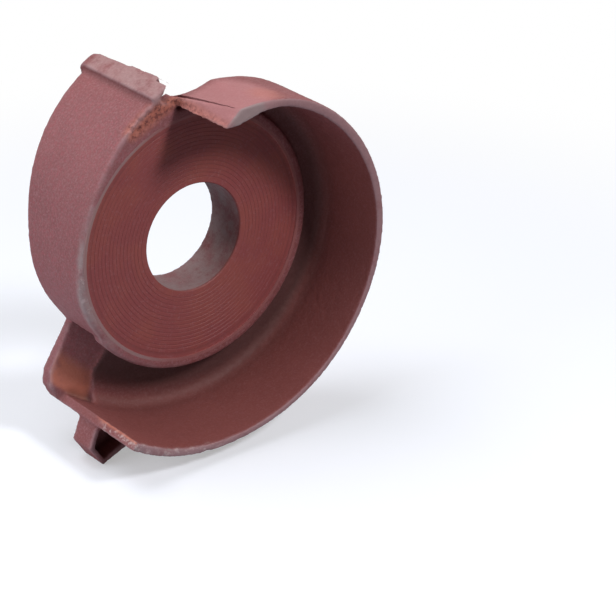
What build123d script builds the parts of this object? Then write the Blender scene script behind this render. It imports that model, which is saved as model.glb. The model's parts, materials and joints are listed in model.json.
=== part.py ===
from build123d import *
import math
import os

# The volute cover of a small water pump: one iron casting.
# The eye is centred on the origin, the turned face lies in the plane Y = 0 and looks
# along -Y, and +Z is up. The casting is drawn in a working frame first, with x to the
# right, y up and z out of the plate's front border, and is placed at the end.
# Lengths are in millimetres. Angles are in degrees, counter-clockwise from the right,
# as seen from the front. A reach is a radius measured from the edge of the plate.

# The eye, its hub and the plate round it
eye_radius = 35.0
eye_length = 31.5
hub_wall = 7.0
plate_radius = 86.0
plate_thickness = 11.0
plate_edge_round = 2.5
turned_border = 7.5
turned_depth = 0.8

# The open scroll runs clockwise from behind the nose to the mouth
front_height = 49.0
floor_thickness = 8.5
skirt_wall = 6.0
skirt_setback = 0.4
foot_round = 8.0
foot_share = 0.6
back_round = 16.0
scroll_start = 81.0
drop_angle = -126.0
scroll_end = -132.0
wall_end_angle = -130.5
# angle: reach of the wall's inner face, thickness of the wall, depth of the floor
scroll = {
    81.0: (7.9, 7.0, 3.0),
    70.0: (11.8, 5.5, 3.2),
    52.0: (13.9, 6.1, 4.0),
    7.0: (17.1, 5.3, 5.0),
    -38.0: (19.4, 3.9, 6.5),
    -83.0: (25.2, 4.1, 11.0),
    -108.0: (31.2, 5.0, 18.0),
    -126.0: (35.6, 5.7, 24.0),
    -135.0: (37.9, 5.7, 26.0),
}

# The nose closes the scroll at its narrow end; each point is a reach and an angle
nose_foot = (3.7, 97.6)
nose_inner = [(2.9, 91.3), (4.4, 86.8)]
nose_tip_back = (8.6, 96.7)
nose_tip_front = (13.0, 90.0)
nose_dish = 3.0
nose_draw = 0.8
nose_middle = 0.4

# The closed duct runs on clockwise behind the plate, from the mouth to the outlet
duct_start = -143.5
duct_end = -263.0
# angle: reach of the outer face, depth of the back edge, rounding of the back corner
duct = {
    -143.5: (-1.5, 43.5, 2.0),
    -165.0: (-1.2, 52.5, 2.5),
    -192.0: (-4.5, 63.5, 3.0),
    -217.0: (-1.2, 70.5, 4.0),
    -239.0: (5.4, 75.5, 6.0),
    -263.0: (15.5, 78.5, 8.0),
}
inner_wall = 5.0
duct_wall = 5.0
duct_floor = 6.0
duct_edge_chamfer = 1.2
outlet_slant = 4.0
collar_length = 16.0
collar_height = 3.0

# The mouth between the scroll and the duct: the scroll's floor ends along an edge, and a
# ramp falls from there to a lip; each point is a reach and an angle, with a thickness
drop_edge = [(-4.8, -126.0), (14.9, -127.5), (25.8, -124.6)]
wall_drop_angle = -121.8
drop_step = 1.5
mouth_lip = [(30.1, -137.8, 9.0), (38.4, -135.0, 11.0)]
web_turn = 4.0
wall_foot_high = 3.0
wall_foot_low = 5.0

# The pocketed lug on the end of the outer wall
lug_outline = [(40.0, -130.3), (57.3, -128.1), (63.3, -122.1), (37.2, -112.9), (35.0, -113.5)]
lug_back = -10.0
lug_front = 10.0
lug_wall = 3.2
lug_pocket_depth = 15.0

# The front corner of the outlet is broken away down to the edge of the nose
break_outline = [
    (20.0, 97.0),
    (17.6, 98.2),
    (16.2, 100.1),
    (13.4, 101.4),
    (11.8, 103.4),
    (7.1, 100.5),
    (8.5, 96.8),
    (24.2, 93.6),
]
break_depth = 14.0

# How far blocks run into each other where they join, and past each other where they cut;
# thin walls are only tucked in, and neighbours along the turn lap by an angle
overlap = 6.0
tuck = 1.0
lap_turn = 1.0
trim_lap = 0.5

# Sections along each swept form
scroll_steps = 14
scroll_end_steps = 2
duct_steps = 10
collar_steps = 3
wall_steps = 5
guide_steps = 6

seat = (Align.CENTER, Align.CENTER, Align.MIN)
hub_radius = eye_radius + hub_wall


def between(stations, angle, item):
    """One value of a station table at an angle, read on a smooth curve."""
    keys = sorted(stations, reverse=True)
    values = [stations[key][item] for key in keys]
    slopes = []
    for i in range(len(keys)):
        low = max(i - 1, 0)
        high = min(i + 1, len(keys) - 1)
        slopes.append((values[high] - values[low]) / (keys[high] - keys[low]))
    i = 0
    while keys[i + 1] > angle and i < len(keys) - 2:
        i += 1
    span = keys[i + 1] - keys[i]
    t = (angle - keys[i]) / span
    leaving = slopes[i] * span * t * (1 - t) ** 2
    arriving = slopes[i + 1] * span * t * t * (1 - t)
    rise = (values[i + 1] - values[i]) * t * t * (3 - 2 * t)
    return values[i] + leaving - arriving + rise


def at(reach, angle):
    """The point at a reach and an angle, in the plane of the turned face."""
    a = math.radians(angle)
    radius = plate_radius + reach
    return (radius * math.cos(a), radius * math.sin(a))


def directions(angle):
    """The directions away from the axis and clockwise round it, at an angle."""
    a = math.radians(angle)
    return Vector(math.cos(a), math.sin(a), 0), Vector(math.sin(a), -math.cos(a), 0)


def radial_plane(angle):
    """The half plane through the axis at an angle: x is the radius, y is out to the front."""
    outward, onward = directions(angle)
    return Plane(origin=(0, 0, 0), x_dir=outward, z_dir=onward)


def steps(first, last, count):
    """Evenly spaced angles, both ends included."""
    return [first + (last - first) * i / count for i in range(count + 1)]


def wall_inner(angle):
    """Reach of the inner face of the open scroll's wall."""
    return between(scroll, angle, 0)


def wall_outer(angle):
    """Reach of the outer face of the open scroll's wall."""
    return between(scroll, angle, 0) + between(scroll, angle, 1)


def slab(points, back, front):
    """A block with a straight-sided outline, from one height to another."""
    outline = make_face(Polyline(*points, close=True))
    return Pos(0, 0, back) * extrude(outline, front - back)


def scroll_section(angle):
    """Section of the open scroll: skirt under the plate, floor, rounded foot and wall."""
    inner = plate_radius + wall_inner(angle)
    outer = plate_radius + wall_outer(angle)
    top = front_height + overlap
    floor = -between(scroll, angle, 2)
    under = floor - floor_thickness
    foot = min(foot_round, foot_share * wall_inner(angle))
    skirt = plate_radius - skirt_setback
    root = skirt - skirt_wall
    outline = [
        Line((root, -tuck), (skirt, -tuck)),
        Line((skirt, -tuck), (skirt, floor)),
        Line((skirt, floor), (inner - foot, floor)),
        CenterArc((inner - foot, floor + foot), foot, -90, 90),
        Line((inner, floor + foot), (inner, top)),
        Line((inner, top), (outer, top)),
        Line((outer, top), (outer, under + back_round)),
        CenterArc((outer - back_round, under + back_round), back_round, 0, -90),
        Line((outer - back_round, under), (root, under)),
        Line((root, under), (root, -tuck)),
    ]
    return radial_plane(angle) * make_face(outline)


def open_scroll():
    """Floor and outer wall of the open scroll, from behind the nose to the drop edge."""
    full_turns = steps(scroll_start, wall_drop_angle, scroll_steps)
    last_turns = steps(wall_drop_angle, scroll_end, scroll_end_steps)
    full = loft([scroll_section(a) for a in full_turns])
    last = loft([scroll_section(a) for a in last_turns])
    far = 2 * plate_radius
    hub_reach = hub_radius - plate_radius
    past = scroll_end - lap_turn
    edge = [(hub_reach, drop_angle)] + drop_edge + [(wall_outer(wall_drop_angle), wall_drop_angle)]
    beyond = [(far, wall_drop_angle), (far, past), (hub_reach, past)]
    return full + (last - slab([at(*point) for point in edge + beyond], -far, far))


def nose_level(height):
    """Outer side of the nose at a height, from its end to its tip, drawn in at the back."""
    rise = max(height, 0) / front_height
    tip_reach = nose_tip_back[0] + (nose_tip_front[0] - nose_tip_back[0]) * rise
    tip_angle = nose_tip_back[1] + (nose_tip_front[1] - nose_tip_back[1]) * rise
    up = min((height + plate_thickness) / back_round, 1)
    drawn_in = 1 - math.sqrt(1 - (1 - up) ** 2)
    thin = tip_reach - nose_foot[0]
    tip = at(tip_reach - nose_draw * thin * drawn_in, tip_angle)
    end_reach = wall_outer(scroll_start) - back_round * drawn_in
    end = at(end_reach, scroll_start)
    middle = at((tip_reach + end_reach) / 2 - nose_dish * (1 - rise), (tip_angle + scroll_start) / 2)
    return Spline(end, middle, tip), end, tip


def nose():
    """The cutwater: the wall swings in to the plate and ends in a slanted face."""
    step = -between(scroll, scroll_start, 2)
    foot = at(*nose_foot)
    root = [at(-overlap, nose_foot[1]), at(-overlap, scroll_start)]
    base = []
    middle = step - nose_middle * (step + plate_thickness)
    for height in (-plate_thickness, middle, step):
        side, end, tip = nose_level(height)
        base.append(Pos(0, 0, height) * make_face([side, Polyline(tip, foot, *root, end)]))
    inner_end = at(wall_inner(scroll_start), scroll_start)
    curve = Spline(foot, *[at(*point) for point in nose_inner], inner_end)
    wall = []
    for height in (step, back_round - plate_thickness, front_height + overlap):
        side, end, tip = nose_level(height)
        sides = [curve, Line(inner_end, end), side, Line(tip, foot)]
        wall.append(Pos(0, 0, height) * make_face(sides))
    return loft(base, ruled=True) + loft(wall, ruled=True)


def plate():
    """The disc round the eye, its free edge rounded at the front, and the hub behind it."""
    rounding = plate_edge_round
    back = -plate_thickness
    outline = [
        Line((0, back), (plate_radius, back)),
        Line((plate_radius, back), (plate_radius, -rounding)),
        CenterArc((plate_radius - rounding, -rounding), rounding, 0, 90),
        Line((plate_radius - rounding, 0), (0, 0)),
        Line((0, 0), (0, back)),
    ]
    free_turn = duct_start - duct_end - 360
    half_disc = radial_plane(duct_start) * make_face(outline)
    disc = revolve(half_disc, Axis.Z, revolution_arc=-free_turn)
    hub = Pos(0, 0, -eye_length) * Cylinder(hub_radius, eye_length, align=seat)
    return disc + hub


def shell_section(angle, proud):
    """Section of the duct's outer form, from the hub out to its outer face."""
    outer = plate_radius + between(duct, angle, 0) + proud
    back = -between(duct, angle, 1) - proud
    corner = between(duct, angle, 2)
    edge = duct_edge_chamfer
    outline = [
        Line((hub_radius - tuck, back), (outer - corner, back)),
        CenterArc((outer - corner, back + corner), corner, -90, 90),
        Line((outer, back + corner), (outer, -edge)),
        Line((outer, -edge), (outer - edge, 0)),
        Line((outer - edge, 0), (hub_radius - tuck, 0)),
        Line((hub_radius - tuck, 0), (hub_radius - tuck, back)),
    ]
    return radial_plane(angle) * make_face(outline)


def hollow_section(angle):
    """Section of the water way of the duct."""
    inner = hub_radius + inner_wall
    outer = plate_radius + between(duct, angle, 0) - duct_wall
    back = duct_floor - between(duct, angle, 1)
    front = -plate_thickness
    corners = [(inner, back), (outer, back), (outer, front), (inner, front)]
    return radial_plane(angle) * make_face(Polyline(*corners, close=True))


def duct_body():
    """Outer form of the duct behind the plate, with the collar round its outlet."""
    outlet_radius = plate_radius + between(duct, duct_end, 0)
    collar_turn = math.degrees(collar_length / outlet_radius)
    collar_angles = steps(duct_end + collar_turn, duct_end, collar_steps)
    shell = loft([shell_section(a, 0) for a in steps(duct_start, duct_end, duct_steps)])
    collar = loft([shell_section(a, collar_height) for a in collar_angles])
    return shell + collar


def duct_hollow():
    """The water way of the duct, open at the mouth and at the outlet."""
    return loft([hollow_section(a) for a in steps(duct_start, duct_end, duct_steps)])


def outlet_trim():
    """The slice behind the plate that slants the outlet's end back."""
    outward, onward = directions(duct_end)
    corner = (hub_radius - tuck) * outward - Vector(0, 0, plate_thickness)
    end = Plane(origin=corner, x_dir=onward, z_dir=outward)
    far = 2 * plate_radius
    lean = far * math.tan(math.radians(outlet_slant))
    outline = Polyline((0, 0), (-lean, far), (trim_lap, far), (trim_lap, 0), close=True)
    return end * extrude(make_face(outline), far)


def level_at(angle, first, last, high, low):
    """A height that falls evenly from one angle to another."""
    return high + (low - high) * (angle - first) / (last - first)


def upright(angles, section_at, front):
    """A wall that stands on the ramp; section_at gives its radii and its foot at an angle."""
    sections = []
    for a in angles:
        inner, outer, foot = section_at(a)
        corners = [(inner, foot), (outer, foot), (outer, front), (inner, front)]
        sections.append(radial_plane(a) * make_face(Polyline(*corners, close=True)))
    return loft(sections, ruled=True)


def mouth():
    """The ramp from the scroll's floor to the lip, with the walls that stand on it."""
    low = -between(duct, duct_start, 1)
    high_top = -between(scroll, drop_angle, 2) - drop_step
    high = high_top + drop_step - floor_thickness
    wall_out = wall_outer(wall_end_angle)
    high_points = [(hub_radius - tuck - plate_radius, drop_angle)] + drop_edge
    high_points.append((wall_outer(wall_drop_angle), wall_drop_angle))
    low_points = [
        (hub_radius - tuck - plate_radius, duct_start, duct_floor),
        (between(duct, duct_start, 0), duct_start, duct_floor),
        *mouth_lip,
        (wall_out, wall_end_angle, mouth_lip[-1][2]),
    ]
    quads = []
    for above, (reach, angle, thickness) in zip(high_points, low_points):
        x, y = at(*above)
        u, v = at(reach, angle)
        corners = [(x, y, high), (x, y, high_top), (u, v, low + thickness), (u, v, low)]
        quads.append(make_face(Polyline(*corners, close=True)))

    def web_at(a):
        return hub_radius - tuck, plate_radius - tuck, high

    def wall_at(a):
        ends = (high + wall_foot_high, low + wall_foot_low)
        foot = level_at(a, wall_drop_angle, wall_end_angle, *ends)
        return plate_radius + wall_inner(a), plate_radius + wall_outer(a), foot

    def guide_at(a):
        under = level_at(a, drop_angle, duct_start, high, low)
        return hub_radius - tuck, hub_radius + inner_wall, min(high, under) + tuck

    guide_start = drop_angle + web_turn
    ramp = loft(quads, ruled=True)
    web = upright([drop_angle - lap_turn, guide_start], web_at, tuck - plate_thickness)
    wall = upright(steps(wall_drop_angle, wall_end_angle, wall_steps), wall_at, front_height)
    guide_angles = steps(guide_start, duct_start - lap_turn, guide_steps)
    guide = upright(guide_angles, guide_at, tuck - plate_thickness)
    return ramp + web + wall + guide


def lug():
    """The pocketed lug on the end of the outer wall, open at the front."""
    outline = make_face(Polyline(*[at(*point) for point in lug_outline], close=True))
    inside = offset(outline, amount=-lug_wall, kind=Kind.INTERSECTION)
    block = Pos(0, 0, lug_back) * extrude(outline, lug_front - lug_back)
    pocket = Pos(0, 0, lug_front - lug_pocket_depth) * extrude(inside, lug_pocket_depth + overlap)
    return block - pocket


body = open_scroll() + nose() + plate() + duct_body() - duct_hollow() + mouth() + lug()
body -= Pos(0, 0, front_height) * Cylinder(2 * plate_radius, 2 * overlap, align=seat)
body -= Pos(0, 0, -turned_depth) * Cylinder(plate_radius - turned_border, 2 * turned_depth, align=seat)
body -= Pos(0, 0, -eye_length - overlap) * Cylinder(eye_radius, eye_length + 2 * overlap, align=seat)
body -= slab([at(*point) for point in break_outline], -break_depth, overlap)
body -= outlet_trim()

os.makedirs("parts", exist_ok=True)
placed = Plane.XZ.location * Pos(0, 0, turned_depth) * body
export_step(placed, "parts/housing_cover.step")
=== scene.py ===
# %% [markdown]
# # A worn pump casting
# The object is one iron casting: a turned plate round a plain eye, an open scroll wall
# to the right of it and a closed duct that runs on behind the plate. It was dipped in
# thin red-brown primer, so every finish here is that primer: matt over the sand skin,
# rubbed grey along the edges and tinted with rust where water has stood. Some light and
# shade is painted into that colour too: shade in the inner corners, the channel and the
# scroll, a sheen on the duct's side and light on the ramp of the mouth and on one edge.
# The imported CAD model fixes the sizes. Lengths are in metres, Z is up, and the turned
# face lies in the plane Y = 0 and looks along -Y.

# %% Load the casting
import bpy
import bmesh
import json
import math
import numpy as np
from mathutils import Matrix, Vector, noise


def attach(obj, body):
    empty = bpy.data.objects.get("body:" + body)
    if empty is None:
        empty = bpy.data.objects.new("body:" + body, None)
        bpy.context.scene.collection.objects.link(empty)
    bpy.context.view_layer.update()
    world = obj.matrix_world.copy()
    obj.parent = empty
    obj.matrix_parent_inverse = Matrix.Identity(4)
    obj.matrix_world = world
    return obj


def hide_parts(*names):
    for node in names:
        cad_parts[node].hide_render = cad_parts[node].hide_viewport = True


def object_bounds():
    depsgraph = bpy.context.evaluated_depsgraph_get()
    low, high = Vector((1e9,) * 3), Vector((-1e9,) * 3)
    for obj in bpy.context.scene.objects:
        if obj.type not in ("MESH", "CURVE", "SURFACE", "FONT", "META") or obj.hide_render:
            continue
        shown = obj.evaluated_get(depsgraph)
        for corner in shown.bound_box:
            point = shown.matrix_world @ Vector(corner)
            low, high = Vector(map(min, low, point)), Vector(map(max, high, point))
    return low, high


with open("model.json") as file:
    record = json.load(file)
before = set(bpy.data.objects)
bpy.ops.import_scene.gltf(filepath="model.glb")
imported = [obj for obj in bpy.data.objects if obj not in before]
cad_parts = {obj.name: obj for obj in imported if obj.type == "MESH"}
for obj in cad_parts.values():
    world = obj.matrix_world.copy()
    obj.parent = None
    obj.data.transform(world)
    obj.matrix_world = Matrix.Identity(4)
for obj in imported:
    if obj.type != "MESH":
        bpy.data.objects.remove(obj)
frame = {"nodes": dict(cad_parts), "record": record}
cad_low, cad_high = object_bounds()
casting_node = frame["nodes"]["housing_cover"]
print("CAD box in mm:", [round((b - a) * 1000, 1) for a, b in zip(cad_low, cad_high)])

# %% [markdown]
# ## Sizes that the finish needs
# The eye's radius comes from the part's own mount and the height of the front rim from
# its box, so they follow the casting. The turned face and its raised border carry no
# mount of their own, so their two sizes are written here.

# %% Sizes of the eye, the turned face and the rim
inlet_mount = next(mount for mount in frame["record"]["mounts"] if mount["name"] == "inlet_eye")
eye_radius = inlet_mount["dims"]["r_mm"] / 1000
rim_front = round(-cad_low.y, 5)
turned_radius = 0.0785
border_front = 0.0008
print("eye radius and rim height in m:", eye_radius, rim_front)

# %% [markdown]
# ## The cast skin
# A sand casting has no sharp corner anywhere: the sand rounds every edge and leaves a
# faintly uneven skin. Bevelling the long thin triangles of a CAD mesh goes wrong, so the
# copy is merged first and then rebuilt with an even voxel mesh. That gives small faces
# of one size, which later steps can push in and out to make chips and pits.

# %% Copy, merge and rebuild the skin
merge_distance = 0.000002
skin_voxel = 0.00105


def apply_modifiers(piece):
    """Keep what the modifiers make as the piece's own mesh."""
    graph = bpy.context.evaluated_depsgraph_get()
    mesh = bpy.data.meshes.new_from_object(piece.evaluated_get(graph))
    piece.modifiers.clear()
    piece.data = mesh


skin = bpy.data.objects.new("cast_skin", casting_node.data.copy())
bpy.context.scene.collection.objects.link(skin)
shell = bmesh.new()
shell.from_mesh(skin.data)
bmesh.ops.remove_doubles(shell, verts=shell.verts, dist=merge_distance)
shell.to_mesh(skin.data)
shell.free()
rebuild = skin.modifiers.new("even_faces", "REMESH")
rebuild.mode = "VOXEL"
rebuild.voxel_size = skin_voxel
apply_modifiers(skin)
print("skin faces:", len(skin.data.polygons))

# %% [markdown]
# ## Reading the skin as arrays
# The next steps need each vertex's place, its normal and its neighbours. Reading them
# into arrays once is much faster than asking Blender vertex by vertex. Most steps also
# spread a value over the faces round it, so that is a helper too.

# %% Places, normals and neighbours
skin_mesh = skin.data
vertex_count = len(skin_mesh.vertices)


def read_rows(what):
    """Three numbers for each vertex: its place, "co", or its "normal"."""
    flat = np.zeros(vertex_count * 3)
    skin_mesh.vertices.foreach_get(what, flat)
    return flat.reshape(-1, 3)


edge_flat = np.zeros(len(skin_mesh.edges) * 2, int)
skin_mesh.edges.foreach_get("vertices", edge_flat)
edge_starts, edge_ends = edge_flat.reshape(-1, 2).T
neighbour_count = np.bincount(edge_flat, minlength=vertex_count).astype(float)


def neighbour_mean(values):
    """Mean of each vertex's neighbours, for rows or single numbers."""
    rows = values.reshape(vertex_count, -1)
    total = np.zeros_like(rows)
    for column in range(rows.shape[1]):
        total[:, column] = np.bincount(edge_starts, rows[edge_ends, column], vertex_count)
        total[:, column] += np.bincount(edge_ends, rows[edge_starts, column], vertex_count)
    return (total / neighbour_count[:, None]).reshape(values.shape)


def spread(values, rounds):
    """Take the mean of the neighbours this many times."""
    for _ in range(rounds):
        values = neighbour_mean(values)
    return values


print("vertices:", vertex_count)

# %% [markdown]
# ## Soft edges
# The rebuilt mesh has small steps along its edges. A few rounds of moving each vertex
# towards the mean of its neighbours, followed by a smaller move back, take the steps
# out and round the edges by about a millimetre without thinning the walls.

# %% Smooth the skin
smoothing_rounds = 9
move_in = 0.6
move_back = 0.45
places = read_rows("co")
for _ in range(smoothing_rounds):
    places = places + move_in * (neighbour_mean(places) - places)
    places = places - move_back * (neighbour_mean(places) - places)
skin_mesh.vertices.foreach_set("co", places.ravel())
skin_mesh.update()
print("smoothed, rounds:", smoothing_rounds)

# %% [markdown]
# ## Where the edges are
# Worn paint follows the edges, so the material needs to know how far each point stands
# out. A vertex on an edge lies outside the mean of its neighbours. That distance, spread
# over a few rings of faces, is stored on the mesh as the attribute edge_wear, and the
# same measure with the other sign is stored as a second attribute, for painted shade in
# the inner corners.
# A shader can guess at edges too, but a stored measure is the same in every view and
# goes with the mesh.

# %% Measure edges and inner corners
edge_scale = 0.00009
edge_rings = 3
corner_rings = 4
normals = read_rows("normal")
standing_out = np.einsum("ij,ij->i", places - neighbour_mean(places), normals)
standing_out = spread(standing_out, edge_rings)
edge_wear = np.clip(standing_out / edge_scale, 0, 1)
# painted shade: how deep each point lies in an inner corner, to darken it in the material
inner_corner = spread(np.clip(-standing_out / edge_scale, 0, 1), corner_rings)
print("mean edge wear:", round(float(edge_wear.mean()), 3))

# %% [markdown]
# ## Knocks and chips
# Most edges are whole. The knocks sit on the wall's end, the bottom of the rim, the lip
# of the mouth, the border beside the duct and the collar of the outlet. Real chips take
# the corner away and never add to it, so only vertices on edges in those places move,
# and only inwards, by an amount that slow noise switches on and off along the edge.
# Paint alone could suggest chips, but then the outline of the edge would stay straight.

# %% Places of the knocks
knocked_places = {
    "wall end": ((-0.090, -0.040, -0.092), 0.032, 1.0),
    "rim bottom": ((-0.045, -0.045, -0.118), 0.032, 0.7),
    "mouth lip": ((-0.086, 0.044, -0.078), 0.030, 0.2),
    "border": ((-0.082, 0.0, -0.008), 0.026, 0.8),
    "collar": ((-0.020, 0.020, 0.100), 0.018, 0.5),
}
knock_steepness = 2.5


def within(distance, reach, steepness):
    """1 near a place and 0 at its reach, steeper as the last number grows."""
    return np.clip(steepness * (1 - distance / reach), 0, 1)


knocked = np.zeros(vertex_count)
for centre, reach, strength in knocked_places.values():
    distance = np.linalg.norm(places - np.array(centre), axis=1)
    knocked = np.maximum(knocked, strength * within(distance, reach, knock_steepness))
print("knocked places:", ", ".join(knocked_places))

# %% Chip the edges there
chip_depth = 0.0009
chip_spacing = 0.008
chip_level = 0.25
chip_contrast = 2.2
least_edge = 0.15
fractal_falloff = 0.6
fractal_step = 2.0


def noise_at(points, spacing, octaves, offset):
    """Fractal noise at rows of points, in about -1 to 1; each offset gives another one."""
    shift = Vector((offset, offset * 0.7, -offset))
    return np.array([
        noise.fractal(Vector(point) / spacing + shift, fractal_falloff, fractal_step, octaves)
        for point in points
    ])


on_edge = edge_wear > least_edge
edge_noise = noise_at(places[on_edge], chip_spacing, octaves=4, offset=3.1)
chips = np.zeros(vertex_count)
chips[on_edge] = np.clip(edge_noise - chip_level, 0, 1)
chips = np.minimum(chips * edge_wear * chip_contrast, 1) * knocked
places = places - normals * (chip_depth * chips)[:, None]
print("vertices chipped:", int((chips > 0).sum()))

# %% [markdown]
# ## Places for stains, wear and painted shade
# Some parts of the skin differ from the rest, and each is marked by its radius and its
# angle round the eye, its depth behind the turned face and the way it looks. A pair of
# numbers says where a mark has faded out and where it is full. The marks are found one
# by one in the next cells, because each follows a form of its own.

# %% Radius, angle and fading
around = np.hypot(places[:, 0], places[:, 2])
turn = np.degrees(np.arctan2(places[:, 2], places[:, 0]))
depth = places[:, 1].copy()


def fade(values, zero, one):
    """0 at one value and 1 at the other, straight in between."""
    return np.clip((values - zero) / (one - zero), 0, 1)


print("radii in mm:", round(around.min() * 1000, 1), "to", round(around.max() * 1000, 1))

# %% [markdown]
# The scroll's floor ends along a drop edge, whose angle changes with the radius. The
# bottom of the channel before that edge is painted dark, as the shadow of the plate's
# edge, and the ramp past it is painted lighter, as a lit patch with a tint of rust.

# %% Mark the channel and the ramp
drop_radii = (0.081, 0.101, 0.112, 0.128)
drop_turns = (-126.0, -127.5, -124.6, -121.8)
drop_fade = 1
drop_turn = np.interp(around, drop_radii, drop_turns)

channel_radii = (0.115, 0.100)
channel_depths = (0.000, 0.005)
channel_facing = (0.2, -0.3)
channel_start = 0.0845
channel_end_turn = 80
# painted shade: the bottom of the channel beside the plate's edge
channel = fade(around, *channel_radii) * fade(depth, *channel_depths)
channel *= (turn > drop_turn) & (turn < channel_end_turn) & (around > channel_start)
channel *= fade(normals[:, 1], *channel_facing)

ramp_turns = (-152, -140)
ramp_inner_radii = (0.100, 0.107)
ramp_outer_radii = (0.1225, 0.1205)
ramp_facing = (-0.2, -0.5)
ramp_front = 0.012
# painted light with a rust tint: the ramp past the drop edge
ramp = fade(turn, drop_turn, drop_turn - drop_fade) * fade(turn, *ramp_turns)
ramp *= fade(around, *ramp_inner_radii)
ramp *= fade(around, *ramp_outer_radii) * (depth > ramp_front) * fade(normals[:, 1], *ramp_facing)
print("channel and ramp:", round(float(channel.mean()), 3), round(float(ramp.mean()), 3))

# %% [markdown]
# Handling has rubbed the border beside the duct, the wall of the eye and the collar of
# the outlet soft and grey. Those marks have hard ends, so they are spread a little
# afterwards.

# %% Mark the border, the eye and the collar
rub_rings = 2
border_low_turns = (-137, -141)
border_high_turns = (150, 170)
border_start = 0.0775
border_end = 0.0885
border_back = 0.004
eye_wall = 0.0012
border = fade(turn, *border_low_turns) + fade(turn, *border_high_turns)
border *= (around > border_start) * (around < border_end) * (depth < border_back)
border += around < eye_radius + eye_wall
border = spread(border, rub_rings)

collar_low_turn = 96
collar_high_turn = 106
collar_start = 0.095
collar_back = 0.070
collar = (turn > collar_low_turn) * (turn < collar_high_turn) * (around > collar_start)
collar = spread((collar * (depth < collar_back)).astype(float), rub_rings)
print("border and collar:", round(float(border.mean()), 3), round(float(collar.mean()), 3))

# %% [markdown]
# The inside of the scroll is painted a darker, deeper red as shade. It is what looks
# towards the axis, or to the front past the plate, and the painted shade fades out at the
# top and at the rim.

# %% Mark the inside of the scroll
inside_inward = (-0.2, 0.3)
inside_facing = (0.5, 0.1)
inside_radii = (0.090, 0.098)
inside_heights = (0.080, 0.030)
inside_fronts = (-0.0492, -0.0480)
inward = -(normals[:, 0] * places[:, 0] + normals[:, 2] * places[:, 2]) / around
inside = fade(inward, *inside_inward) * fade(normals[:, 1], *inside_facing)
inside *= fade(around, *inside_radii)
inside *= fade(places[:, 2], *inside_heights) * fade(depth, *inside_fronts)
print("inside of the scroll:", round(float(inside.mean()), 3))

# %% [markdown]
# The wall of the scroll ends in a flat face above the lug. It is chipped all over, and
# its inner edge is painted orange, as rust and as the highlight on that edge.

# %% Mark the end of the wall
end_normal = np.array((-0.760, 0, 0.649))
end_turn = -130.6
end_turn_reach = 3
end_facing = (0.4, 0.8)
end_radii = (0.1195, 0.1215)
end_depths = (-0.006, -0.014)
end_line_radii = (0.1246, 0.1234)
wall_end = fade(normals @ end_normal, *end_facing) * (np.abs(turn - end_turn) < end_turn_reach)
wall_end *= fade(around, *end_radii) * fade(depth, *end_depths)
# painted highlight and rust: the inner edge of the wall's end face
end_line = wall_end * fade(around, *end_line_radii)
print("vertices on the wall's end:", int((wall_end > 0).sum()))

# %% [markdown]
# ## The broken corner of the outlet
# Beside the nose the front corner of the outlet has broken away, and the break runs on
# as a rough scar between the plate and the duct's wall. A break shows coarse grain, so
# inside a soft-edged strip the vertices move in and out with fine noise.

# %% Roughen the break
scar_from = Vector((-0.042, 0, 0.079))
scar_to = Vector((-0.014, 0, 0.093))
scar_half_width = 0.0070
scar_steepness = 1.6
scar_depths = (0.0060, 0.0015)
scar_depth = 0.0012
scar_spacing = 0.0032
scar_lift = 0.45
scar_limits = (-0.2, 1.2)
least_scar = 0.01
along = np.array(scar_to - scar_from)
share = np.clip((places - np.array(scar_from)) @ along / (along @ along), 0, 1)
nearest = np.array(scar_from) + share[:, None] * along
off_line = np.hypot(places[:, 0] - nearest[:, 0], places[:, 2] - nearest[:, 2])
scar = within(off_line, scar_half_width, scar_steepness) * fade(depth, *scar_depths)
in_scar = scar > least_scar
scar_noise = noise_at(places[in_scar], scar_spacing, octaves=4, offset=8.4)
bite = np.clip(scar_noise + scar_lift, *scar_limits)
places[in_scar] -= normals[in_scar] * (scar_depth * scar[in_scar] * bite)[:, None]
print("vertices in the scar:", int(in_scar.sum()))

# %% [markdown]
# ## Sand texture
# Sand leaves pits and grains of a few tenths of a millimetre. The larger ones are moved
# into the mesh here, and the finest are left to the bump of the material. The turned
# face and the wall of the eye were machined, so they stay smooth.

# %% Press in the sand texture
sand_depth = 0.00016
sand_spacing = 0.0035
machined_margin = 0.001
machined_depth = 0.0012
radius = np.hypot(places[:, 0], places[:, 2])
machined = (radius < turned_radius + machined_margin) & (np.abs(places[:, 1]) < machined_depth)
machined |= radius < eye_radius + eye_wall
sand = np.zeros(vertex_count)
sand[~machined] = noise_at(places[~machined], sand_spacing, octaves=3, offset=5.5)
places = places + normals * (sand_depth * sand)[:, None]
print("machined share:", round(float(machined.mean()), 3))

# %% [markdown]
# ## Room for the turned face
# The lathe left rings on the plate that are finer than the skin's own faces, so the
# turned face is made as a piece of its own and let into the skin. The skin steps back
# by about a millimetre there.

# %% Let the skin back under the turned face
inlay_depth = 0.0012
inlay_reach = turned_radius + 0.0008
plate_front = -0.002
plate_back = 0.0008
on_plate = (places[:, 1] > plate_front) & (places[:, 1] < plate_back)
under_inlay = (radius < inlay_reach) & on_plate
places[under_inlay, 1] = inlay_depth
skin_mesh.vertices.foreach_set("co", places.ravel())
skin_mesh.update()
print("vertices let back:", int(under_inlay.sum()))

# %% [markdown]
# ## Handing the marks to the material
# A material can read any number that the mesh stores for its vertices, by name. Storing
# the marks as attributes keeps them with the mesh, and they stay in place when its faces
# are thinned out.

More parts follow.
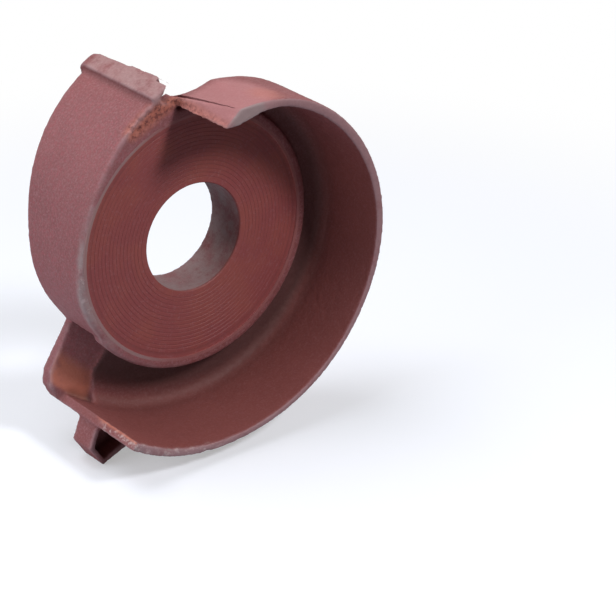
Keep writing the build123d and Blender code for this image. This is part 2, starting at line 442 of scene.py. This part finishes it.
# %% Store the measures on the skin
measures = {
    "edge_wear": edge_wear,
    "corner_shade": inner_corner,
    "scar": scar,
    "chips": chips,
    "knocked": knocked,
    "channel": channel,
    "ramp": ramp,
    "border": border,
    "collar": collar,
    "inside": inside,
    "wall_end": wall_end,
    "end_line": end_line,
}
for name, values in measures.items():
    layer = skin_mesh.attributes.new(name, "FLOAT", "POINT")
    layer.data.foreach_set("value", values.astype(np.float32))
for face in skin_mesh.polygons:
    face.use_smooth = True
print("stored:", ", ".join(measures))

# %% [markdown]
# ## Fewer faces where the skin is plain
# Small even faces were needed along the edges and in the scar, but not on the plain
# sides. Edges are now joined where that changes the form least, until the count of
# triangles is one that a library can store.

# %% Thin out the skin
skin_triangles = 188000
thin = skin.modifiers.new("thin_out", "DECIMATE")
thin.ratio = skin_triangles / (2 * len(skin_mesh.polygons))
apply_modifiers(skin)
print("triangles after thinning:", len(skin.data.polygons))

# %% [markdown]
# ## The cold seam on the nose
# The iron of the wall met the iron of the nose cold and left an open seam along the
# nose's end face, widest behind and closing towards the front. The faces of the skin are
# too large for it, so it is cut out of the finished skin with a thin wedge. The wedge
# carries the corner shade at full strength, so its cut faces are painted dark as shade.

# %% Shape the wedge
seam_behind = Vector((-0.0080, 0.0040, 0.0930))
seam_front = Vector((-0.0008, -0.0450, 0.0980))
seam_width_behind = 0.0040
seam_width_front = 0.0005
seam_depth = 0.0032
wedge = bmesh.new()
for end, width in ((seam_behind, seam_width_behind), (seam_front, seam_width_front)):
    for across in (-width / 2, width / 2):
        for up in (-seam_depth, 2 * seam_depth):
            wedge.verts.new(end + Vector((across, 0, up)))
bmesh.ops.convex_hull(wedge, input=wedge.verts)
bmesh.ops.recalc_face_normals(wedge, faces=wedge.faces)
wedge_mesh = bpy.data.meshes.new("seam_wedge")
wedge.to_mesh(wedge_mesh)
wedge.free()
# painted shade: the seam's cut faces get the full corner shade
dark = wedge_mesh.attributes.new("corner_shade", "FLOAT", "POINT")
dark.data.foreach_set("value", np.ones(len(wedge_mesh.vertices), np.float32))
print("wedge corners:", len(wedge_mesh.vertices))

# %% Cut the seam
crease_angle = math.radians(60)
cutter = bpy.data.objects.new("seam_wedge", wedge_mesh)
bpy.context.scene.collection.objects.link(cutter)
cut = skin.modifiers.new("seam", "BOOLEAN")
cut.operation = "DIFFERENCE"
cut.solver = "EXACT"
cut.object = cutter
apply_modifiers(skin)
bpy.data.objects.remove(cutter)
skin.data.set_sharp_from_angle(angle=crease_angle)
print("skin faces with the seam:", len(skin.data.polygons))

# %% Put the skin in the casting's place
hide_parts("housing_cover")
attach(skin, "root")
print("skin in place of:", casting_node.name)

# %% [markdown]
# ## The turned face
# A lathe tool fed outwards from the eye leaves a flat land and a shallow groove at each
# turn. Bump could draw them, but rings this plain to see belong in the mesh, and a lathe
# part is made as a lathe makes it: its section is drawn once, as a line of points from
# the eye to the border, and spun round the axis of the eye. A back and two rims close
# it, so that it is a solid ring, and its outer lip takes in the start of the border,
# where the step of the turning shows.

# %% Section of the turned face
ring_pitch = 0.0026
ring_depth = 0.00016
first_ring = 0.0368
last_ring = turned_radius - 0.0006
land_share = 0.74
groove_start_share = 0.80
groove_end_share = 0.92
land_fall = 0.00003
eye_lap = 0.00005
eye_edge = 0.0005
step_width = 0.0003
lip_fall = 0.0001
lip_rounding = 0.0002
face_back = 0.0016
ring_reach = turned_radius + 0.0024


def turned_section():
    """Radius and depth of each corner of the turned face, from the eye outwards."""
    corners = [
        (eye_radius - eye_lap, face_back),
        (eye_radius - eye_lap, eye_edge),
        (eye_radius + eye_edge, 0.0),
    ]
    start = first_ring
    while start + ring_pitch < last_ring:
        corners.append((start, 0.0))
        corners.append((start + ring_pitch * land_share, land_fall))
        corners.append((start + ring_pitch * groove_start_share, ring_depth))
        corners.append((start + ring_pitch * groove_end_share, ring_depth))
        start += ring_pitch
    corners.append((turned_radius, 0.0))
    corners.append((turned_radius + step_width, -border_front))
    corners.append((ring_reach - step_width, -border_front - lip_fall))
    corners.append((ring_reach, -border_front + lip_rounding))
    corners.append((ring_reach, face_back))
    return corners


print("corners of the section:", len(turned_section()))

# %% Spin the turned face
ring_sides = 240
ring_merge = 0.000001
ring_crease = math.radians(25)
turning = bmesh.new()
points = [turning.verts.new((r, behind, 0)) for r, behind in turned_section()]
line = [turning.edges.new(pair) for pair in zip(points, points[1:] + points[:1])]
bmesh.ops.spin(
    turning,
    geom=points + line,
    cent=(0, 0, 0),
    axis=(0, 1, 0),
    angle=math.tau,
    steps=ring_sides,
    use_merge=True,
    use_duplicate=False,
)
bmesh.ops.remove_doubles(turning, verts=turning.verts, dist=ring_merge)
bmesh.ops.recalc_face_normals(turning, faces=turning.faces)
turned_mesh = bpy.data.meshes.new("turned_face")
turning.to_mesh(turned_mesh)
turning.free()
for face in turned_mesh.polygons:
    face.use_smooth = True
turned_mesh.set_sharp_from_angle(angle=ring_crease)
turned_face = bpy.data.objects.new("turned_face", turned_mesh)
bpy.context.scene.collection.objects.link(turned_face)
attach(turned_face, "root")
print("turned face:", len(turned_mesh.polygons), "faces")

# %% [markdown]
# ## Building a paint in layers
# One paint covers the whole casting, but it shows differently on each face, so each
# material is a stack of coats: a colour laid over what is there, through a mask. Masks
# are noise in object coordinates, zones round a point and the measures stored on the
# skin, so no image is needed and the paint holds up close by. The helper keeps the
# colour so far, and each of its methods adds one step.

# %% Helper for materials


class Finish:
    """A node material in the making, which starts from one plain colour."""

    def __init__(self, name, first_colour):
        self.material = bpy.data.materials.new(name)
        self.material.use_nodes = True
        self.nodes = self.material.node_tree.nodes
        self.links = self.material.node_tree.links
        self.shader = self.nodes["Principled BSDF"]
        self.place = self.nodes.new("ShaderNodeTexCoord").outputs["Object"]
        self.colour = first_colour
        self.coats = 0

    def fill(self, socket, value):
        """Link an output into a socket, or write a plain value on it."""
        if isinstance(value, bpy.types.NodeSocket):
            self.links.new(value, socket)
        else:
            socket.default_value = value

    def arithmetic(self, operation, first, second):
        """One arithmetic step, kept within 0 and 1 where it multiplies or adds."""
        node = self.nodes.new("ShaderNodeMath")
        node.operation = operation
        node.use_clamp = operation in ("MULTIPLY", "ADD")
        self.fill(node.inputs[0], first)
        self.fill(node.inputs[1], second)
        return node.outputs["Value"]

    def times(self, first, second):
        """The product of two masks, or a share of one."""
        return self.arithmetic("MULTIPLY", first, second)

    def plus(self, first, second):
        """The sum of two masks."""
        return self.arithmetic("ADD", first, second)

    def larger(self, first, second):
        """The larger of two masks."""
        return self.arithmetic("MAXIMUM", first, second)

    def between(self, value, low, high):
        """Spread a value so that low becomes 0 and high becomes 1, with soft ends."""
        node = self.nodes.new("ShaderNodeMapRange")
        node.interpolation_type = "SMOOTHSTEP"
        node.inputs["From Min"].default_value = low
        node.inputs["From Max"].default_value = high
        self.fill(node.inputs["Value"], value)
        return node.outputs["Result"]

    def scaled(self, value, low, high):
        """Turn 0 into low and 1 into high."""
        node = self.nodes.new("ShaderNodeMapRange")
        node.inputs["To Min"].default_value = low
        node.inputs["To Max"].default_value = high
        self.fill(node.inputs["Value"], value)
        return node.outputs["Result"]

    def grain(self, size, detail, rough, shift):
        """Noise with features of about this size; each shift gives another one."""
        moved = self.nodes.new("ShaderNodeMapping")
        moved.inputs["Location"].default_value = (shift, shift * 0.6, -shift)
        self.links.new(self.place, moved.inputs["Vector"])
        node = self.nodes.new("ShaderNodeTexNoise")
        node.inputs["Scale"].default_value = 1.0 / size
        node.inputs["Detail"].default_value = detail
        node.inputs["Roughness"].default_value = rough
        self.links.new(moved.outputs["Vector"], node.inputs["Vector"])
        return node.outputs["Fac"]

    def patches(self, size, detail, rough, shift, low, high):
        """Noise pulled apart into patches with soft ends."""
        return self.between(self.grain(size, detail, rough, shift), low, high)

    def measure(self, name):
        """A measure stored on the mesh."""
        node = self.nodes.new("ShaderNodeAttribute")
        node.attribute_name = name
        return node.outputs["Fac"]

    def along(self, axis):
        """The place along X, Y or Z, in metres."""
        node = self.nodes.new("ShaderNodeSeparateXYZ")
        self.links.new(self.place, node.inputs["Vector"])
        return node.outputs[axis]

    def vector_step(self, operation, vector, second=None):
        """One step on a vector, such as its length."""
        node = self.nodes.new("ShaderNodeVectorMath")
        node.operation = operation
        self.links.new(vector, node.inputs[0])
        if second is not None:
            node.inputs[1].default_value = second
        return node.outputs["Vector" if operation == "MULTIPLY" else "Value"]

    def zone(self, centre, inner, outer):
        """1 within the inner distance of a point and 0 past the outer one."""
        return self.between(self.vector_step("DISTANCE", self.place, centre), outer, inner)

    def coat(self, paint, mask, share=None):
        """Lay a paint over the colour so far, through a mask or a share of it."""
        node = self.nodes.new("ShaderNodeMix")
        node.data_type = "RGBA"
        self.fill(node.inputs["Factor"], mask if share is None else self.times(mask, share))
        self.fill(node.inputs["A"], self.colour)
        self.fill(node.inputs["B"], paint)
        self.colour = node.outputs["Result"]
        self.coats += 1

    def bump(self, height, strength, distance, under=None):
        """Turn a height into a normal, on top of an earlier one."""
        node = self.nodes.new("ShaderNodeBump")
        node.inputs["Strength"].default_value = strength
        node.inputs["Distance"].default_value = distance
        self.links.new(height, node.inputs["Height"])
        if under is not None:
            self.links.new(under, node.inputs["Normal"])
        return node.outputs["Normal"]

    def dress(self, piece, roughness, normal):
        """Join the colour, roughness and normal to the shader and give it to a piece."""
        self.fill(self.shader.inputs["Base Color"], self.colour)
        self.fill(self.shader.inputs["Roughness"], roughness)
        self.fill(self.shader.inputs["Normal"], normal)
        self.shader.inputs["Specular IOR Level"].default_value = primer_specular
        piece.data.materials.clear()
        piece.data.materials.append(self.material)
        print("painted:", self.material.name, "in", self.coats, "coats")


# %% [markdown]
# ## Colours of the casting
# The primer is one red-brown. Most others are what time has made of it: deeper in the
# pits, paler and greyer where the sand's grain or an edge has been rubbed, and orange
# where it rusts. Some are painted light and shade: a dark brown for shade in corners and
# the channel, a deeper red for shade inside the scroll, the pale bloom again as a sheen on
# the duct's side, and the orange again as light on the ramp and on an edge. They are
# written as the linear values that a colour socket takes.

# %% Colours of the casting
primer_specular = 0.25
primer_red = (0.215, 0.062, 0.062, 1)
primer_deep = (0.125, 0.034, 0.034, 1)
# bloom on the sand's grain, and also a painted sheen on the duct's side
bloom_and_sheen = (0.330, 0.155, 0.170, 1)
# painted shade: a darker red for the inside of the scroll
scroll_shade_red = (0.170, 0.046, 0.037, 1)
speck_crimson = (0.350, 0.075, 0.095, 1)
speck_mauve = (0.340, 0.215, 0.250, 1)
nose_pink = (0.420, 0.180, 0.185, 1)
worn_mauve = (0.330, 0.210, 0.225, 1)
worn_grey = (0.300, 0.235, 0.235, 1)
pale_chip = (0.520, 0.390, 0.380, 1)
# rust, and also painted light on the ramp and on the inner edge of the wall's end
rust_and_light_orange = (0.480, 0.155, 0.100, 1)
# painted shade for the inner corners, the seam and the channel
shade_brown = (0.050, 0.024, 0.022, 1)
face_red = (0.240, 0.056, 0.056, 1)
face_warm = (0.265, 0.066, 0.056, 1)
print("primer:", primer_red[:3])

# %% [markdown]
# ## Primer on the sand skin
# The first coats are the paint as it dried: slow blotches of a deeper red, a paler bloom
# on the grains of the sand and dark specks in its pits.

# %% Plain coats of the sand skin
cast_paint = Finish("sand_cast_primer", primer_red)
blotches = cast_paint.patches(size=0.028, detail=5, rough=0.6, shift=1.3, low=0.35, high=0.68)
bloom = cast_paint.patches(size=0.0014, detail=4, rough=0.7, shift=4.2, low=0.42, high=0.74)
pits = cast_paint.patches(size=0.0011, detail=3, rough=0.6, shift=7.9, low=0.56, high=0.74)
cast_paint.coat(primer_deep, blotches, share=0.35)
cast_paint.coat(bloom_and_sheen, bloom, share=0.62)
cast_paint.coat(primer_deep, pits, share=0.5)
print("coats so far:", cast_paint.coats)

# %% [markdown]
# The sides of the casting differ as a whole. The inside of the scroll is painted a
# darker red as shade, the duct's side is painted paler as a sheen and is specked with
# crimson and mauve, and the nose is pinker.

# %% Tints of the inside, the duct and the nose
# painted shade inside the scroll
cast_paint.coat(scroll_shade_red, cast_paint.measure("inside"), share=0.6)
# painted sheen: the duct's side is paled with the bloom colour
duct_zone = cast_paint.zone(centre=(-0.085, 0.030, 0.010), inner=0.075, outer=0.125)
cast_paint.coat(bloom_and_sheen, duct_zone, share=0.22)
for speck_colour, speck_size, speck_share in (
    (speck_crimson, 0.0023, 0.45),
    (speck_mauve, 0.0013, 0.22),
):
    specks = cast_paint.patches(
        size=speck_size, detail=5, rough=0.75, shift=11.4, low=0.46, high=0.68
    )
    cast_paint.coat(speck_colour, cast_paint.times(specks, duct_zone), share=speck_share)
nose_zone = cast_paint.zone(centre=(0.004, -0.030, 0.098), inner=0.022, outer=0.036)
cast_paint.coat(nose_pink, nose_zone, share=0.65)
print("coats so far:", cast_paint.coats)

# %% [markdown]
# Grey shows through the collar in patches. Rust lies as a stain on top of the nose and
# colours the break, whose pits stay dark. On the ramp the same orange is painted light,
# a lit patch with a tint of rust.

# %% Collar, rust, the lit ramp and the break
collar_noise = cast_paint.patches(size=0.010, detail=5, rough=0.65, shift=8.8, low=0.25, high=0.60)
collar_grey = cast_paint.times(cast_paint.measure("collar"), collar_noise)
cast_paint.coat(pale_chip, collar_grey, share=0.35)

stain_noise = cast_paint.patches(size=0.012, detail=5, rough=0.65, shift=2.2, low=0.15, high=0.50)
top_zone = cast_paint.zone(centre=(0.027, -0.038, 0.099), inner=0.004, outer=0.016)
top_stain_share = 0.35
top_stain = cast_paint.times(top_zone, top_stain_share)
# the ramp is a painted lit patch with rust, the top of the nose a rust stain
rust_and_lit_patch = cast_paint.larger(cast_paint.measure("ramp"), top_stain)
cast_paint.coat(rust_and_light_orange, cast_paint.times(rust_and_lit_patch, stain_noise), share=0.8)

scar_mask = cast_paint.measure("scar")
scar_pits = cast_paint.patches(size=0.0024, detail=4, rough=0.7, shift=6.0, low=0.42, high=0.66)
cast_paint.coat(rust_and_light_orange, scar_mask, share=0.65)
cast_paint.coat(primer_deep, cast_paint.times(scar_mask, scar_pits))
print("coats so far:", cast_paint.coats)

# %% [markdown]
# Painted shade darkens the inner corners and the channel. On top of it the edges are
# rubbed soft, most on the duct's side, then the border with the eye, then the flat rim,
# whose tip at the nose is bare.

# %% Painted shade and rubbed paint
# painted shade in the inner corners and the channel
corner_and_channel_shade = cast_paint.larger(cast_paint.measure("corner_shade"), cast_paint.measure("channel"))
cast_paint.coat(shade_brown, corner_and_channel_shade, share=0.78)

least_rub = 0.25
soft_rub = cast_paint.patches(size=0.016, detail=4, rough=0.6, shift=9.1, low=0.25, high=0.65)
rubbed = cast_paint.between(cast_paint.measure("edge_wear"), low=0.15, high=0.85)
rubbed = cast_paint.times(rubbed, soft_rub)
duct_side = cast_paint.between(cast_paint.along("X"), low=0.020, high=-0.050)
rubbed = cast_paint.times(rubbed, cast_paint.plus(duct_side, least_rub))
cast_paint.coat(worn_mauve, rubbed, share=0.5)

border_noise = cast_paint.patches(size=0.0055, detail=5, rough=0.7, shift=6.6, low=0.18, high=0.54)
border_rub = cast_paint.times(cast_paint.measure("border"), soft_rub)
cast_paint.coat(worn_grey, cast_paint.times(border_rub, border_noise), share=0.7)

rim_starts = -rim_front + 0.0011
rim_is_full = -rim_front + 0.0005
rim_face = cast_paint.between(cast_paint.along("Y"), low=rim_starts, high=rim_is_full)
rim_noise = cast_paint.patches(size=0.011, detail=5, rough=0.65, shift=3.7, low=0.12, high=0.52)
cast_paint.coat(worn_mauve, cast_paint.times(rim_face, rim_noise), share=0.6)
bare_tip = cast_paint.zone(centre=(0.005, -0.050, 0.096), inner=0.009, outer=0.015)
cast_paint.coat(worn_grey, cast_paint.times(rim_face, bare_tip), share=0.7)
print("coats so far:", cast_paint.coats)

# %% [markdown]
# The knocks are the palest: small bare patches on the edges, on the rim and on the end
# of the wall, which also has its orange line of rust and painted highlight. The chips that
# were pressed into the mesh get worn grey last, and then come the gloss and two sizes of
# bump.

# %% Knocks, chips and gloss
knock_noise = cast_paint.patches(size=0.0042, detail=5, rough=0.7, shift=5.9, low=0.50, high=0.62)
open_faces = cast_paint.larger(cast_paint.measure("edge_wear"), rim_face)
open_faces = cast_paint.larger(open_faces, cast_paint.measure("wall_end"))
knocks = cast_paint.times(open_faces, cast_paint.measure("knocked"))
cast_paint.coat(pale_chip, cast_paint.times(knocks, knock_noise), share=0.75)
# painted highlight with rust along the inner edge of the wall's end
cast_paint.coat(rust_and_light_orange, cast_paint.measure("end_line"), share=0.75)
chipped = cast_paint.between(cast_paint.measure("chips"), low=0.25, high=0.60)
cast_paint.coat(worn_grey, chipped, share=0.6)

gloss_noise = cast_paint.grain(size=0.004, detail=4, rough=0.6, shift=0.4)
sand_grain = cast_paint.grain(size=0.0016, detail=5, rough=0.65, shift=3.3)
coarse_grain = cast_paint.grain(size=0.006, detail=4, rough=0.6, shift=5.1)
sand_bump = cast_paint.bump(sand_grain, strength=0.45, distance=0.0006)
coarse_bump = cast_paint.bump(coarse_grain, strength=0.25, distance=0.0010, under=sand_bump)
cast_roughness = cast_paint.scaled(gloss_noise, low=0.48, high=0.72)
cast_paint.dress(skin, roughness=cast_roughness, normal=coarse_bump)

# %% [markdown]
# ## Primer on the turned face
# Paint lies thin and even on a turned face. It is a little redder and smoother than on
# the sand skin, and its grooves are painted darker, more where they are deeper. Past the
# turned radius it is worn grey, most on the duct's side. The grooves' colour follows the
# depth, and the grey follows the radius from the axis.

# %% Paint the turned face
groove_top = 0.00002
lip_width = 0.0004
least_lip = 0.3
turned_paint = Finish("turned_primer", face_red)
wear = turned_paint.patches(size=0.022, detail=5, rough=0.6, shift=2.7, low=0.38, high=0.66)
turned_paint.coat(face_warm, wear)
speckle = turned_paint.patches(size=0.0016, detail=4, rough=0.7, shift=1.9, low=0.52, high=0.72)
turned_paint.coat(bloom_and_sheen, speckle, share=0.35)
grooves = turned_paint.between(turned_paint.along("Y"), low=groove_top, high=ring_depth)
turned_paint.coat(primer_deep, grooves, share=0.3)
flat_place = turned_paint.vector_step("MULTIPLY", turned_paint.place, (1, 0, 1))
from_axis = turned_paint.vector_step("LENGTH", flat_place)
lip = turned_paint.between(from_axis, low=turned_radius, high=turned_radius + lip_width)
duct_side = turned_paint.between(turned_paint.along("X"), low=-0.010, high=-0.060)
lip = turned_paint.times(lip, turned_paint.plus(duct_side, least_lip))
turned_paint.coat(worn_grey, lip, share=0.55)
fine_grain = turned_paint.grain(size=0.0012, detail=4, rough=0.6, shift=0.8)
fine_bump = turned_paint.bump(fine_grain, strength=0.25, distance=0.0004)
turned_paint.dress(turned_face, roughness=0.5, normal=fine_bump)

# %% [markdown]
# ## Floor
# A product picture on white needs a floor that is white to the camera and still keeps a
# shadow, so the floor is part plain grey paper and part glow that only the camera sees.
# It lies just under the lowest point of the casting.

# %% Lay the floor
floor_gap = 0.0002
floor_size = 4.0
floor_height = cad_low.z - floor_gap
floor_form = bmesh.new()
bmesh.ops.create_grid(floor_form, x_segments=1, y_segments=1, size=floor_size)
bmesh.ops.translate(floor_form, verts=floor_form.verts, vec=(0, 0, floor_height))
floor_mesh = bpy.data.meshes.new("floor")
floor_form.to_mesh(floor_mesh)
floor_form.free()
floor = bpy.data.objects.new("floor", floor_mesh)
bpy.context.scene.collection.objects.link(floor)
print("floor at z in mm:", round(floor_height * 1000, 1))

# %% [markdown]
# The paper keeps the shadow only near the casting. Further off it fades into plain white,
# so that the picture has no horizon and no grey corners.

# %% Paper
paper_grey = (0.54, 0.56, 0.62, 1)
near_glow = 0.40
far_glow = 1.0
paper_near = 0.30
paper_far = 0.62
paper = bpy.data.materials.new("white_paper")
paper.use_nodes = True
paper_nodes, paper_links = paper.node_tree.nodes, paper.node_tree.links
paper_nodes.clear()
matt = paper_nodes.new("ShaderNodeBsdfDiffuse")
matt.inputs["Color"].default_value = paper_grey
seen = paper_nodes.new("ShaderNodeLightPath")


def camera_glow(strength):
    """Plain white light of this strength that only the camera sees."""
    glow_share = paper_nodes.new("ShaderNodeMath")
    glow_share.operation = "MULTIPLY"
    glow_share.inputs[1].default_value = strength
    paper_links.new(seen.outputs["Is Camera Ray"], glow_share.inputs[0])
    glow = paper_nodes.new("ShaderNodeEmission")
    paper_links.new(glow_share.outputs["Value"], glow.inputs["Strength"])
    return glow.outputs["Emission"]


shaded = paper_nodes.new("ShaderNodeAddShader")
paper_links.new(matt.outputs["BSDF"], shaded.inputs[0])
paper_links.new(camera_glow(near_glow), shaded.inputs[1])
paper_place = paper_nodes.new("ShaderNodeTexCoord")
from_casting = paper_nodes.new("ShaderNodeVectorMath")
from_casting.operation = "DISTANCE"
from_casting.inputs[1].default_value = (0, 0, floor_height)
paper_links.new(paper_place.outputs["Object"], from_casting.inputs[0])
far_off = paper_nodes.new("ShaderNodeMapRange")
far_off.interpolation_type = "SMOOTHSTEP"
far_off.inputs["From Min"].default_value = paper_near
far_off.inputs["From Max"].default_value = paper_far
paper_links.new(from_casting.outputs["Value"], far_off.inputs["Value"])
blend = paper_nodes.new("ShaderNodeMixShader")
paper_links.new(far_off.outputs["Result"], blend.inputs["Fac"])
paper_links.new(shaded.outputs["Shader"], blend.inputs[1])
paper_links.new(camera_glow(far_glow), blend.inputs[2])
paper_end = paper_nodes.new("ShaderNodeOutputMaterial")
paper_links.new(blend.outputs["Shader"], paper_end.inputs["Surface"])
floor.data.materials.append(paper)
print("paper fades out from", paper_near, "to", paper_far, "m")

# %% [markdown]
# ## World
# The sky is white to the camera, in reflections and through glass, but lights the
# casting only faintly, so that the lamps shape it.

# %% World
faint_sky = 0.10
white_sky = 1.0
world = bpy.data.worlds.new("studio")
bpy.context.scene.world = world
world.use_nodes = True
world_nodes, world_links = world.node_tree.nodes, world.node_tree.links
sky = world_nodes["Background"]
sky.inputs["Color"].default_value = (1, 1, 1, 1)
ray = world_nodes.new("ShaderNodeLightPath")
shown_white = ray.outputs["Is Camera Ray"]
for kind in ("Is Glossy Ray", "Is Transmission Ray"):
    either = world_nodes.new("ShaderNodeMath")
    either.operation = "MAXIMUM"
    world_links.new(shown_white, either.inputs[0])
    world_links.new(ray.outputs[kind], either.inputs[1])
    shown_white = either.outputs["Value"]
sky_strength = world_nodes.new("ShaderNodeMapRange")
sky_strength.inputs["To Min"].default_value = faint_sky
sky_strength.inputs["To Max"].default_value = white_sky
world_links.new(shown_white, sky_strength.inputs["Value"])
world_links.new(sky_strength.outputs["Result"], sky.inputs["Strength"])
print("sky lights the casting at", faint_sky)

# %% [markdown]
# ## Lamps
# A soft lamp stands high to the right in front and throws the shadow of the nose on the
# plate, a wide weak one with a cool tint lights the duct's side from the left, and a
# wide one hangs overhead. All three aim at the middle of the eye.

# %% Lamps
lamps = {
    "key": {"place": (0.40, -1.08, 1.05), "width": 0.32, "power": 15.5},
    "overhead": {"place": (-0.30, 0.40, 1.5), "width": 1.2, "power": 17},
    "side": {"place": (-1.25, 0.30, 0.35), "width": 1.0, "power": 10.5, "tint": (0.90, 0.95, 1.0)},
}


def hang_lamp(name, place, width, power, tint=(1, 1, 1)):
    """A square soft lamp that looks at the middle of the eye."""
    lamp = bpy.data.lights.new(name, "AREA")
    lamp.size = width
    lamp.energy = power
    lamp.color = tint
    holder = bpy.data.objects.new(name, lamp)
    bpy.context.scene.collection.objects.link(holder)
    holder.location = place
    holder.rotation_euler = (-Vector(place)).to_track_quat("-Z", "Y").to_euler()


for lamp_name, lamp_facts in lamps.items():
    hang_lamp(lamp_name, **lamp_facts)
print("lamps:", ", ".join(lamps))

# %% [markdown]
# ## Camera
# The camera stands in front of the casting, to the left and above. It looks down on it
# through a long lens from about a metre and a half, so the near and the far side of the
# casting are seen at almost the same scale.

# %% Camera
camera_place = Vector((-0.769, -1.0838, 0.608))
camera_line = Vector((0.556, 0.703, -0.443))
camera = bpy.data.cameras.new("camera")
camera.lens = 140.26
camera.sensor_width = 36
camera.clip_end = 20
camera_holder = bpy.data.objects.new("camera", camera)
bpy.context.scene.collection.objects.link(camera_holder)
camera_holder.location = camera_place
camera_holder.rotation_euler = camera_line.to_track_quat("-Z", "Y").to_euler()
bpy.context.scene.camera = camera_holder
bpy.context.scene.view_settings.view_transform = "Standard"
print("camera distance in m:", round(camera_place.length, 2))
